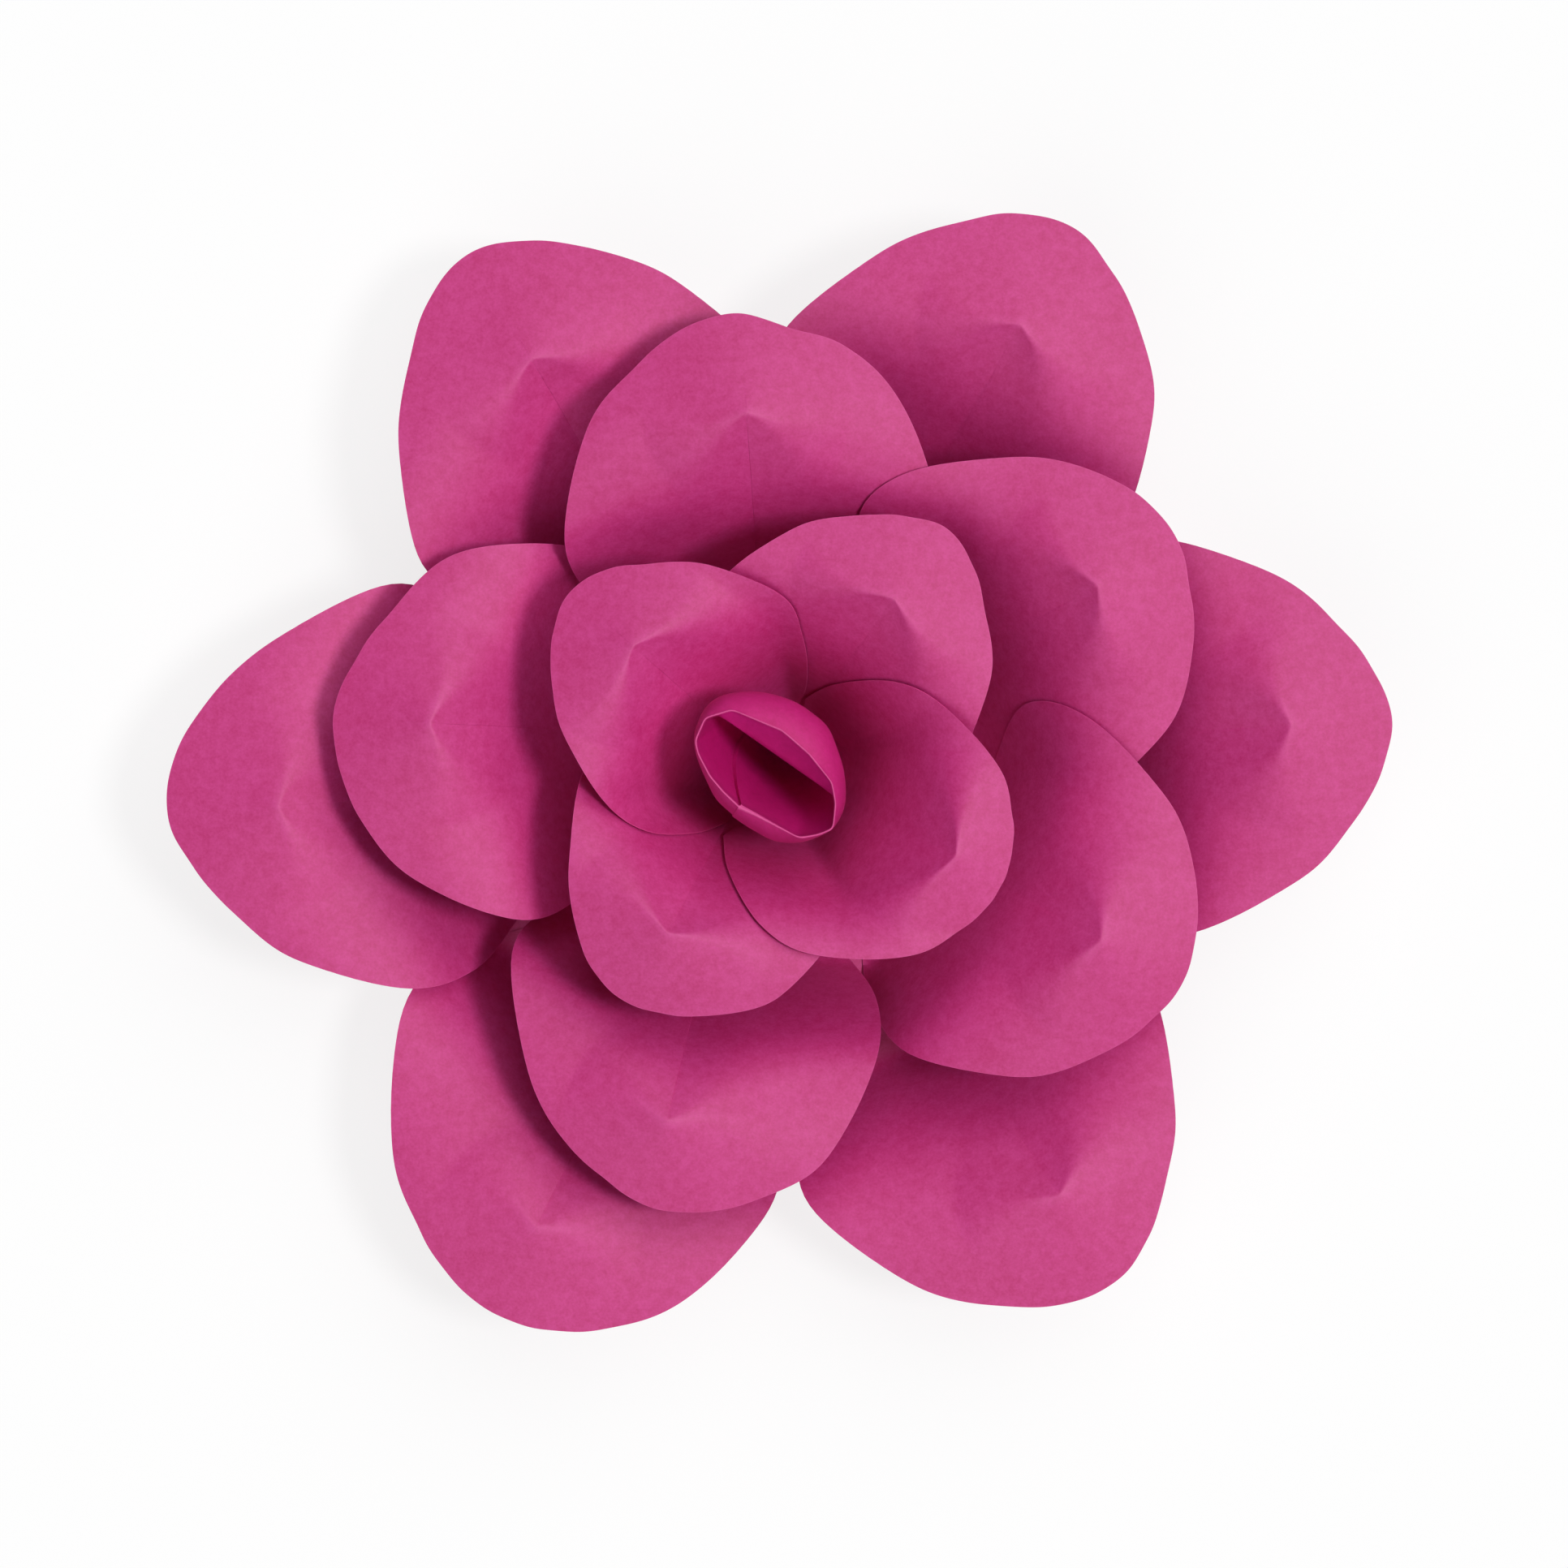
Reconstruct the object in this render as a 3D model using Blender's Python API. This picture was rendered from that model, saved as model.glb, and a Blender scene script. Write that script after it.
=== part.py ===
"""A giant paper flower, lying on its back with its face up.

Every petal is a flat card with a slit cut up from its foot. The two flaps beside the slit overlap and are
glued, which lifts the card into a low peak at the end of the slit: the flaps make a valley that falls ever
steeper from the peak to the foot, and two creases fan out from the peak beside it. The feet are glued to a
round board in three rings, with a rolled bud in the middle.

X runs right, Y up and Z out of the flower's face. The origin is the centre of the board's back.
"""

import math
from collections import namedtuple

import bmesh
import bpy
import numpy as np

MM = 0.001
TINY = 1e-9  # keeps divisions away from zero

# Card, board and glue
CARD = 0.4 * MM  # thickness of the petal and bud card
BOARD = 1.5 * MM  # thickness of the round board
GLUE_GAP = 0.3 * MM  # between two glued faces
BOARD_BORDER = 5 * MM  # bare board outside the outer feet
BOARD_SIDES = 48

# The rolled bud
BUD_BASE_RADIUS = 12 * MM
BUD_ABOVE_INNER = 5 * MM  # rim of the bud above the peaks of the inner petals
BUD_WIDEST_BELOW_RIM = 26 * MM
BUD_WAIST_HEIGHT = 30 * MM
BUD_WAIST_RADIUS = 18 * MM
BUD_HALF_LENGTH = 34 * MM  # at its widest
BUD_HALF_WIDTH = 26 * MM
BUD_BELLY_SHIFT = 1 * MM  # the belly bulges to the upper right
BUD_TURN = math.radians(-35)  # direction of the mouth's long side
BUD_POCKET_DEPTH = 58 * MM  # from the rim down to the middle of the fold inside the mouth
BUD_FOLD_OFFSET = 5 * MM  # the fold runs beside the middle, on the upper right
BUD_FOLD_SHARE = 0.84  # length of the fold over that of the mouth
BUD_RIM_WIDTH = 1.2 * MM  # card turned over at the rim
BUD_POCKET_SKIN = 2 * CARD  # thickness of the pocket, measured upright
# The pocket closes in steps: share of its depth, and share of the way from the mouth's outline to the fold
BUD_POCKET_STEPS = [(0.35, 0.22), (0.7, 0.55), (1, 1)]
# Corners of the mouth, along and across its long side, in percent of its half length
BUD_MOUTH_HALF_LENGTH = 34 * MM
BUD_MOUTH = [(-97, 3), (-76, 29), (-15, 41), (29, 38), (71, 24), (88, 6),
             (103, -18), (76, -50), (41, -56), (-6, -59), (-41, -53), (-85, -29)]

# Petal cards: the rows of a petal run from its peak to its edge, the spokes around its peak
ROWS = 7
COLLAR_SPOKES = 14  # around the collar, between the two creases
VALLEY_SPOKES = 12  # around the valley, between the two creases
OUTLINE_STEPS = 8  # points of an edge between two of its table's radii
BEND_SAMPLES = 200  # places along a spoke where the bend at the foot is looked for
CREASE_WIDTH = 5 * MM  # height over which a crease is rounded, at the reach below, growing as its cube
CREASE_REACH = 30 * MM
WIDEST_CREASE = 20 * MM
SEAM_SHARE = 0.65  # how much of the valley's fold is sharp along the seam, the rest being rounded
SEAM_ROUNDING = 7 * MM
FOOT_BEND = 3 * MM  # height over which the valley bends into the flat foot
FOOT_SPACING = 4 * MM  # between neighbouring feet of one ring
LAP = 4 * MM  # from the face of a card to the face of the card that laps over it
LAP_BEND = 9 * MM  # height over which a card bends where it comes to lie on its neighbour
SHARP_EDGE = math.radians(30)  # edges shaded sharp above this angle

# Slopes are falls over runs: of the valley at the peak, of the collar beside the creases and at the tip, and
# of the whole card sideways. The valley then steepens to reach the board at the end of its run.
SIZES = "peak_circle peak_height card_size valley_run"
SLOPES = "valley_slope crease_angle side_slope tip_slope twist"
Ring = namedtuple("Ring", f"{SIZES} {SLOPES} angles")
Petal = namedtuple("Petal", "name heading peak_share lean rise outline")

# Angles from a petal's tip, clockwise positive, in degrees
WIDE_ANGLES = (-150, -135, -120, -90, -60, -30, 0, 30, 60, 90, 120, 135, 150)
LOBED_ANGLES = (-160,) + WIDE_ANGLES + (160,)

OUTER_PEAK_HEIGHT = 68 * MM
MIDDLE_ABOVE_OUTER = 23 * MM
INNER_ABOVE_MIDDLE = 13 * MM

OUTER_RING = Ring(
    peak_circle=200 * MM,
    peak_height=OUTER_PEAK_HEIGHT,
    card_size=100 * MM,
    valley_run=75 * MM,
    valley_slope=0.56,
    crease_angle=math.radians(60),
    side_slope=0.05,
    tip_slope=0.24,
    twist=0.02,
    angles=WIDE_ANGLES,
)
MIDDLE_RING = Ring(
    peak_circle=150 * MM,
    peak_height=OUTER_PEAK_HEIGHT + MIDDLE_ABOVE_OUTER,
    card_size=100 * MM,
    valley_run=68 * MM,
    valley_slope=0.65,
    crease_angle=math.radians(64),
    side_slope=0.14,
    tip_slope=0.32,
    twist=0.03,
    angles=WIDE_ANGLES,
)
INNER_RING = Ring(
    peak_circle=80 * MM,
    peak_height=OUTER_PEAK_HEIGHT + MIDDLE_ABOVE_OUTER + INNER_ABOVE_MIDDLE,
    card_size=100 * MM,
    valley_run=58 * MM,
    valley_slope=0.85,
    crease_angle=math.radians(64),
    side_slope=0.02,
    tip_slope=0.33,
    twist=0.03,
    angles=LOBED_ANGLES,
)

# Each petal: its direction from the flower's centre in degrees, how far out its peak lies in percent of the
# ring's circle of peaks, how far its fold leans from that direction in degrees, how far its peak rises above
# the ring's peak height in millimetres, and how far its edge lies from its peak at the ring's angles from the
# tip, in percent of the ring's card size.
OUTER_PETALS = [
    Petal("outer_petal_1", 120.4, 95.5, 0, 3, (100, 98, 93, 64, 54, 51, 52, 50, 53, 66, 94, 100, 100)),
    Petal("outer_petal_2", 60.6, 102.5, 0, 3, (108, 102, 95, 65, 51, 47, 47, 47, 52, 64, 87, 98, 106)),
    Petal("outer_petal_3", 4.6, 105.5, 0, 0, (110, 103, 92, 62, 48, 41, 42, 43, 49, 64, 94, 104, 110)),
    Petal("outer_petal_4", -56.1, 104.5, 0, -4, (110, 103, 90, 60, 47, 42, 43, 45, 53, 70, 100, 108, 112)),
    Petal("outer_petal_5", -117.1, 104.5, 0, -3, (108, 104, 94, 69, 52, 45, 41, 41, 49, 67, 102, 110, 110)),
    Petal("outer_petal_6", -175.4, 100, 0, 0, (106, 103, 90, 64, 50, 45, 46, 48, 52, 67, 100, 108, 106)),
]
MIDDLE_PETALS = [
    Petal("middle_petal_1", 93.9, 94.7, 0, 5, (94, 96, 89, 64, 48, 43, 41, 39, 49, 63, 86, 92, 80)),
    Petal("middle_petal_2", 29.0, 100, 0, 0, (82, 100, 89, 60, 46, 40, 38, 38, 46, 63, 86, 92, 80)),
    Petal("middle_petal_3", -27.7, 100, 0, -4, (80, 100, 89, 62, 46, 39, 38, 39, 46, 63, 89, 96, 96)),
    Petal("middle_petal_4", -106.4, 98.7, -3, 0, (98, 97, 86, 65, 47, 39, 36, 35, 42, 58, 92, 98, 96)),
    Petal("middle_petal_5", 172.7, 92, -5, 0, (88, 92, 86, 63, 48, 41, 40, 40, 47, 69, 91, 94, 86)),
]
INNER_PETALS = [
    Petal("inner_petal_1", 138.8, 91.3, 0, 0, (80, 79, 74, 63, 44, 35, 33, 34, 33, 34, 44, 63, 68, 71, 70)),
    Petal("inner_petal_2", 53.7, 103.8, 0, 0, (58, 70, 74, 70, 49, 37, 34, 36, 35, 37, 49, 68, 73, 70, 58)),
    Petal("inner_petal_3", -25.8, 102.5, 0, 0, (88, 84, 74, 60, 40, 28, 23, 22, 24, 30, 45, 70, 83, 91, 94)),
    Petal("inner_petal_4", -121.8, 97.5, -4, 0, (58, 68, 70, 66, 51, 38, 33, 33, 34, 37, 47, 73, 76, 70, 58)),
]

# Where the feet lie on the board: each runs from here out to the end of its petal's valley
BUD_TO_INNER = 4 * MM
INNER_TO_MIDDLE = 12 * MM
MIDDLE_TO_OUTER = 14 * MM
INNER_FOOT = BUD_BASE_RADIUS + BUD_TO_INNER
INNER_FOOT_HALF_WIDTH = 13 * MM
MIDDLE_FOOT = INNER_RING.peak_circle - INNER_RING.valley_run + INNER_TO_MIDDLE
OUTER_FOOT = MIDDLE_RING.peak_circle - MIDDLE_RING.valley_run + MIDDLE_TO_OUTER
FOOT_FACE = BOARD + GLUE_GAP + CARD  # height of a glued foot's upper face

# Colours, as linear red, green and blue
MAGENTA = (0.55, 0.055, 0.22)
MAGENTA_DEEP = (0.50, 0.030, 0.17)
MAGENTA_BACK = (0.52, 0.050, 0.20)
CARD_ROUGHNESS = 0.75


def smooth_max(a, b, width):
    """The larger of two heights, with the corner between them rounded over the given height."""
    near = np.clip(1 - np.abs(a - b) / width, 0, 1)
    return np.maximum(a, b) + near * near * width / 4


def smooth_min(a, b, width):
    return -smooth_max(-a, -b, width)


def outward_of(petal):
    """Direction from the flower's centre towards a petal's tip."""
    heading = math.radians(petal.heading)
    return np.array([math.cos(heading), math.sin(heading)])


def clockwise_of(outward):
    return np.array([outward[1], -outward[0]])


def peak_radius(ring, petal):
    return ring.peak_circle * petal.peak_share / 100


def free_height(ring, petal, x, y):
    """Height of a petal's upper face as its own creases shape it, before it meets anything else."""
    peak = peak_radius(ring, petal) * outward_of(petal)
    lean = math.radians(petal.lean)
    fold = math.cos(lean) * outward_of(petal) + math.sin(lean) * clockwise_of(outward_of(petal))
    sideways = clockwise_of(fold)
    along = (x - peak[0]) * fold[0] + (y - peak[1]) * fold[1]
    across = (x - peak[0]) * sideways[0] + (y - peak[1]) * sideways[1]
    reach = np.hypot(across, along) + TINY
    top = ring.peak_height + petal.rise * MM

    toward_tip = 0.5 + 0.5 * along / reach
    collar = -(ring.side_slope + (ring.tip_slope - ring.side_slope) * toward_tip) * reach

    inward = np.maximum(-along, 0)
    crease_cos, crease_sin = math.cos(ring.crease_angle), math.sin(ring.crease_angle)
    crease_slope = ring.side_slope + (ring.tip_slope - ring.side_slope) * (0.5 - 0.5 * crease_cos)
    steepening = (top - FOOT_FACE - ring.valley_slope * ring.valley_run) / ring.valley_run**3
    flank_slope = ((ring.valley_slope + steepening * inward**2) * crease_cos - crease_slope) / crease_sin
    rounded = np.hypot(across, SEAM_ROUNDING) - SEAM_ROUNDING
    spread = SEAM_SHARE * np.abs(across) + (1 - SEAM_SHARE) * rounded
    valley = ring.valley_slope * along - steepening * inward**3 + flank_slope * spread

    crease_width = np.minimum(CREASE_WIDTH * (reach / CREASE_REACH) ** 3, WIDEST_CREASE)
    return top + smooth_min(collar, valley, crease_width + CARD) - ring.twist * across


def lapped_height(ring, petal, lower, x, y):
    """Height of a petal that laps over the petal before it in its ring and is glued down at its foot."""
    own = free_height(ring, petal, x, y)
    below = free_height(ring, lower, x, y) + LAP
    return smooth_max(smooth_max(own, below, LAP_BEND), FOOT_FACE, FOOT_BEND)


def inner_height(index, x, y):
    """The second and fourth inner petals are glued down first. The first and third lap over both of them."""
    own = free_height(INNER_RING, INNER_PETALS[index], x, y)
    if index % 2:
        return smooth_max(own, FOOT_FACE, FOOT_BEND)
    for lower in (1, 3):
        own = smooth_max(own, inner_height(lower, x, y) + LAP, LAP_BEND)
    return own


def smooth_line(points):
    """A Catmull-Rom curve through all the points."""
    points = np.array(points, dtype=float)
    ends = np.vstack([2 * points[0] - points[1], points, 2 * points[-1] - points[-2]])
    line = []
    for i in range(len(points) - 1):
        a, b, c, d = ends[i : i + 4]
        bend = 2 * a - 5 * b + 4 * c - d
        turn = 3 * b - a - 3 * c + d
        for t in np.arange(OUTLINE_STEPS) / OUTLINE_STEPS:
            line.append(b + 0.5 * ((c - a) * t + bend * t**2 + turn * t**3))
    line.append(points[-1])
    return np.array(line)


def straight_line(start, end):
    return np.linspace(start, end, OUTLINE_STEPS, endpoint=False)


def foot_corner(ring, petal, foot, spacing, side):
    """Corner of a foot on one side (-1 anticlockwise, 1 clockwise), kept clear of the foot beside it."""
    half_width = foot * math.tan(spacing / 2) - FOOT_SPACING / 2 / math.cos(spacing / 2)
    return (side * half_width, foot - peak_radius(ring, petal))


def edge_radius(ring, petal, corners, angle):
    """Distance from the peak to the card's edge at an angle from the tip, clockwise positive, in radians."""
    outline = []
    for turn, share in zip(np.radians(ring.angles), petal.outline):
        length = share / 100 * ring.card_size
        outline.append((length * math.sin(turn), length * math.cos(turn)))
    left, right = corners
    middle = (0, left[1])
    curved = smooth_line(outline)
    edge = np.vstack([
        straight_line(middle, left), straight_line(left, curved[0]), curved,
        straight_line(curved[-1], right), straight_line(right, middle),
    ])
    angles = np.arctan2(edge[:, 0], edge[:, 1])
    order = np.argsort(angles)
    return np.interp(angle, angles[order], np.hypot(edge[:, 0], edge[:, 1])[order], period=2 * math.pi)


def spoke_angles(ring, petal):
    """Spokes around the collar and the valley, with one on each crease and one down the valley."""
    crease = math.pi - ring.crease_angle
    collar = np.linspace(-crease, crease, COLLAR_SPOKES + 1)
    valley = np.linspace(crease, 2 * math.pi - crease, VALLEY_SPOKES + 1)
    return np.concatenate([collar, valley[1:-1]]) + math.radians(petal.lean)


def row_radii(ring, petal, direction, edge):
    """Rows along one spoke, evenly spaced, with one on the bend where a valley spoke meets the board."""
    peak = peak_radius(ring, petal) * outward_of(petal)
    reach = np.linspace(0, edge, BEND_SAMPLES)
    own = free_height(ring, petal, peak[0] + reach * direction[0], peak[1] + reach * direction[1])
    bend = reach[np.argmax(own < FOOT_FACE)]
    if bend == 0 or edge - bend < CARD:
        return np.linspace(0, edge, ROWS + 1)[1:]
    return np.append(np.linspace(0, bend, ROWS)[1:], edge)


def fold_quad(mesh, corners, height):
    """Fills four corners with two triangles, folded along the diagonal that lies closer to the card."""
    a, b, c, d = corners
    misses = []
    for start, end in ((a, c), (b, d)):
        middle = (start.co + end.co) / 2
        misses.append(abs(float(height(middle.x, middle.y)) - middle.z))
    if misses[0] <= misses[1]:
        mesh.faces.new((a, b, c))
        mesh.faces.new((a, c, d))
    else:
        mesh.faces.new((a, b, d))
        mesh.faces.new((b, c, d))


def add_petal(ring, petal, corners, height):
    """Makes a petal's upper face in rows around its peak, and gives it the card's thickness downwards."""
    outward = outward_of(petal)
    peak = peak_radius(ring, petal) * outward
    angles = spoke_angles(ring, petal)
    edges = edge_radius(ring, petal, corners, np.mod(angles + math.pi, 2 * math.pi) - math.pi)
    directions = np.outer(np.sin(angles), clockwise_of(outward)) + np.outer(np.cos(angles), outward)
    radii = [row_radii(ring, petal, direction, edge) for direction, edge in zip(directions, edges)]
    mesh = bmesh.new()
    centre = mesh.verts.new((*peak, float(height(*peak))))
    rows = []
    for row in np.array(radii).T:
        places = peak + row[:, None] * directions
        heights = height(places[:, 0], places[:, 1])
        rows.append([mesh.verts.new((*place, z)) for place, z in zip(places, heights)])
    count = len(angles)
    for i in range(count):
        after = (i + 1) % count
        mesh.faces.new((centre, rows[0][after], rows[0][i]))
        for inside, outside in zip(rows, rows[1:]):
            fold_quad(mesh, (inside[i], inside[after], outside[after], outside[i]), height)
    sheet = finish_mesh(petal.name, mesh, MAGENTA)
    solidify = sheet.modifiers.new("card", "SOLIDIFY")
    solidify.thickness = CARD
    solidify.offset = -1


def finish_mesh(name, mesh, colour):
    """Turns a bmesh into a named object with its own material."""
    data = bpy.data.meshes.new(name)
    mesh.to_mesh(data)
    mesh.free()
    piece = bpy.data.objects.new(name, data)
    bpy.context.scene.collection.objects.link(piece)
    material = bpy.data.materials.new(name)
    material.use_nodes = True
    shader = material.node_tree.nodes["Principled BSDF"]
    shader.inputs["Base Color"].default_value = (*colour, 1)
    shader.inputs["Roughness"].default_value = CARD_ROUGHNESS
    shader.inputs["Metallic"].default_value = 0
    data.materials.append(material)
    data.shade_smooth()
    data.set_sharp_from_angle(angle=SHARP_EDGE)
    return piece


def add_lapped_ring(ring, petals, foot):
    """A ring whose petals all lap over the one before them, like the blades of a pinwheel."""
    count = len(petals)
    for i, petal in enumerate(petals):
        before, after = petals[i - 1], petals[(i + 1) % count]
        spacing_before = math.radians((before.heading - petal.heading) % 360)
        spacing_after = math.radians((petal.heading - after.heading) % 360)
        corners = (
            foot_corner(ring, petal, foot, spacing_before, -1),
            foot_corner(ring, petal, foot, spacing_after, 1),
        )
        add_petal(ring, petal, corners, lambda x, y: lapped_height(ring, petal, before, x, y))


def add_inner_ring():
    """The four innermost petals, whose feet stand side by side around the bud."""
    for i, petal in enumerate(INNER_PETALS):
        along = INNER_FOOT - peak_radius(INNER_RING, petal)
        corners = ((-INNER_FOOT_HALF_WIDTH, along), (INNER_FOOT_HALF_WIDTH, along))
        add_petal(INNER_RING, petal, corners, lambda x, y: inner_height(i, x, y))


def bud_round(half_length, half_width, shift, height):
    """An oval level of the bud, with its points in the order of the mouth's."""
    points = []
    for turn in np.linspace(math.pi, -math.pi, 2 * len(BUD_MOUTH), endpoint=False):
        points.append((half_length * math.cos(turn), shift + half_width * math.sin(turn), height))
    return points


def bud_walls(rim, inset):
    """Levels of the wall from the belly down to the base, drawn in by an inset."""
    belly = rim - BUD_WIDEST_BELOW_RIM
    return [
        bud_round(BUD_HALF_LENGTH - inset, BUD_HALF_WIDTH - inset, BUD_BELLY_SHIFT, belly),
        bud_round(BUD_WAIST_RADIUS - inset, BUD_WAIST_RADIUS - inset, 0, BUD_WAIST_HEIGHT),
        bud_round(BUD_BASE_RADIUS - inset, BUD_BASE_RADIUS - inset, 0, BOARD + GLUE_GAP),
    ]


def bud_mouth(rim, inset):
    """The mouth's corners and the middles between them, drawn in by an inset."""
    corners = np.array(BUD_MOUTH) / 100 * BUD_MOUTH_HALF_LENGTH
    middles = (corners + np.roll(corners, -1, axis=0)) / 2
    ring = np.stack([corners, middles], axis=1).reshape(-1, 2)
    centre = ring.mean(axis=0)
    distance = np.linalg.norm(ring - centre, axis=1, keepdims=True)
    ring = centre + (ring - centre) * (1 - inset / distance)
    return [(a, n, rim) for a, n in ring]


def bud_pocket(rim, step, below):
    """A level of the pocket, on the way from the mouth down to the fold, which dips like a boat's keel."""
    depth_share, closing_share = step
    mouth = np.array(bud_mouth(rim, BUD_RIM_WIDTH))
    fold = mouth.copy()
    fold[:, 0] *= BUD_FOLD_SHARE
    fold[:, 1] = BUD_FOLD_OFFSET + np.sign(mouth[:, 1] - BUD_FOLD_OFFSET) * CARD
    depth = BUD_POCKET_DEPTH * (1 - (fold[:, 0] / BUD_HALF_LENGTH) ** 2)
    level = mouth + (fold - mouth) * closing_share
    level[:, 2] = rim - depth * depth_share - below
    return [tuple(point) for point in level]


def add_bud():
    """A card rolled into a cup, whose wall rises from the base, turns in at the rim and folds shut."""
    rim = INNER_RING.peak_height + BUD_ABOVE_INNER
    high, _, low = BUD_POCKET_STEPS
    levels = [bud_pocket(rim, step, 0) for step in reversed(BUD_POCKET_STEPS)]
    levels += [bud_mouth(rim, BUD_RIM_WIDTH), bud_mouth(rim, 0)]
    levels += bud_walls(rim, 0)
    levels += reversed(bud_walls(rim, CARD))
    levels += [bud_pocket(rim, high, BUD_POCKET_SKIN), bud_pocket(rim, low, BUD_POCKET_SKIN)]

    mesh = bmesh.new()
    along = np.array([math.cos(BUD_TURN), math.sin(BUD_TURN), 0])
    across = np.array([-math.sin(BUD_TURN), math.cos(BUD_TURN), 0])
    upward = np.array([0, 0, 1])
    rings = []
    for level in levels:
        rings.append([mesh.verts.new(a * along + n * across + z * upward) for a, n, z in level])
    for ring, following in zip(rings, rings[1:]):
        for i in range(len(ring)):
            mesh.faces.new((ring[i - 1], ring[i], following[i], following[i - 1]))
    mesh.faces.new(rings[0][::-1])
    mesh.faces.new(rings[-1])
    bmesh.ops.recalc_face_normals(mesh, faces=mesh.faces[:])
    finish_mesh("bud", mesh, MAGENTA_DEEP)


def add_board():
    """The round board on the back that all the feet are glued to."""
    farthest_peak = max(peak_radius(OUTER_RING, petal) for petal in OUTER_PETALS)
    board_radius = farthest_peak - OUTER_RING.valley_run + BOARD_BORDER
    mesh = bmesh.new()
    bmesh.ops.create_circle(mesh, cap_ends=True, segments=BOARD_SIDES, radius=board_radius)
    raised = bmesh.ops.extrude_face_region(mesh, geom=mesh.faces[:])
    upper = [item for item in raised["geom"] if isinstance(item, bmesh.types.BMVert)]
    bmesh.ops.translate(mesh, verts=upper, vec=(0, 0, BOARD))
    bmesh.ops.recalc_face_normals(mesh, faces=mesh.faces[:])
    finish_mesh("base_board", mesh, MAGENTA_BACK)


def main():
    for old in list(bpy.data.objects):
        bpy.data.objects.remove(old, do_unlink=True)
    add_board()
    add_lapped_ring(OUTER_RING, OUTER_PETALS, OUTER_FOOT)
    add_lapped_ring(MIDDLE_RING, MIDDLE_PETALS, MIDDLE_FOOT)
    add_inner_ring()
    add_bud()


main()
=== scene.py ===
import math
from collections import namedtuple

import bpy
import numpy as np
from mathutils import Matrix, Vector


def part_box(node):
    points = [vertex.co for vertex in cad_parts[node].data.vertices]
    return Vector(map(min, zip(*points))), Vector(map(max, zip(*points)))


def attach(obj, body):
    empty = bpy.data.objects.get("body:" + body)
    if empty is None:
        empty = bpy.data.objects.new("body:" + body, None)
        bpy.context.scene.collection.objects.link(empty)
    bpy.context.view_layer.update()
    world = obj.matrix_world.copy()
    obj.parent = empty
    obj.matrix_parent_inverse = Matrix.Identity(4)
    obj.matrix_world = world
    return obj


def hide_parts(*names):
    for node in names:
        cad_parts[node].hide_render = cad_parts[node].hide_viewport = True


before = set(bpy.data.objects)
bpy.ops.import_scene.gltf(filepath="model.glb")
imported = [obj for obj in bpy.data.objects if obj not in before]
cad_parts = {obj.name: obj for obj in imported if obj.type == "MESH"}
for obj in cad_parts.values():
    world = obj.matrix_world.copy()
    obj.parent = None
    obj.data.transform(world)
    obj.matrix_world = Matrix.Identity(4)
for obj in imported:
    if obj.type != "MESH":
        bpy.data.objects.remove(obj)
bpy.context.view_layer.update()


# The backing board: a disc of stiff board, cut with a knife and faced with the same card as the petals.
# All the feet are glued to its front, and its back lies on the wall.

MM = 0.001
BOARD_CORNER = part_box("base_board")[1]
BOARD = BOARD_CORNER[2]
BOARD_RADIUS = BOARD_CORNER[0]
BOARD_SIDES = 144
BOARD_BEVEL = 0.3 * MM
FELT_NOISE = (900, 0.6)
BLOTCH_NOISE = (260, 0.6)
CLOUD_NOISE = (40, 0.5)
MOTTLE_START = 0.37
MOTTLE_CONTRAST = 4
FIBRE_DEPTH = 0.1 * MM
ROUGHNESS = 0.62
# Shares of the painted highlight on creases and edges, and how far from the peak the crease highlight
# reaches, in millimetres.
CREASE_HIGHLIGHT = 0.22
EDGE_HIGHLIGHT = 0.2
HIGHLIGHT_REACH = 26


def deselect():
    if bpy.context.object and bpy.context.object.mode != "OBJECT":
        bpy.ops.object.mode_set(mode="OBJECT")
    bpy.ops.object.select_all(action="DESELECT")


class Value:
    """A number that differs over a surface, as one socket of a material's nodes."""

    def __init__(self, finish, socket):
        self.finish = finish
        self.socket = socket

    def math(self, operation, first, second):
        return self.finish.node("ShaderNodeMath", {"operation": operation}, {0: first, 1: second})

    def __add__(self, other):
        return self.math("ADD", self, other)

    __radd__ = __add__

    def __sub__(self, other):
        return self.math("SUBTRACT", self, other)

    def __rsub__(self, other):
        return self.math("SUBTRACT", other, self)

    def __mul__(self, other):
        return self.math("MULTIPLY", self, other)

    __rmul__ = __mul__


class Finish:
    """A material, or the room's light, whose nodes are added one by one."""

    def __init__(self, owner):
        owner.use_nodes = True
        self.nodes = owner.node_tree.nodes
        self.links = owner.node_tree.links
        self.nodes.clear()

    def node(self, kind, settings=None, sockets=None, output=0):
        node = self.nodes.new(kind)
        for name, value in (settings or {}).items():
            setattr(node, name, value)
        for name, value in (sockets or {}).items():
            if isinstance(value, Value):
                self.links.new(value.socket, node.inputs[name])
            else:
                node.inputs[name].default_value = value
        return Value(self, node.outputs[output]) if node.outputs else None

    def mix(self, share, first, second):
        """A colour between two others, which are colours or sockets."""
        ends = [end if isinstance(end, Value) else (*end, 1) for end in (first, second)]
        return self.node("ShaderNodeMix", {"data_type": "RGBA"}, {0: share, 6: ends[0], 7: ends[1]}, output=2)

    def ramp(self, value, start, end):
        """Rises smoothly from 0 where the value is at its start to 1 where it is at its end."""
        return self.node(
            "ShaderNodeMapRange", {"interpolation_type": "SMOOTHSTEP"},
            {"Value": value, "From Min": start, "From Max": end, "To Min": 0, "To Max": 1},
        )


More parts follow.
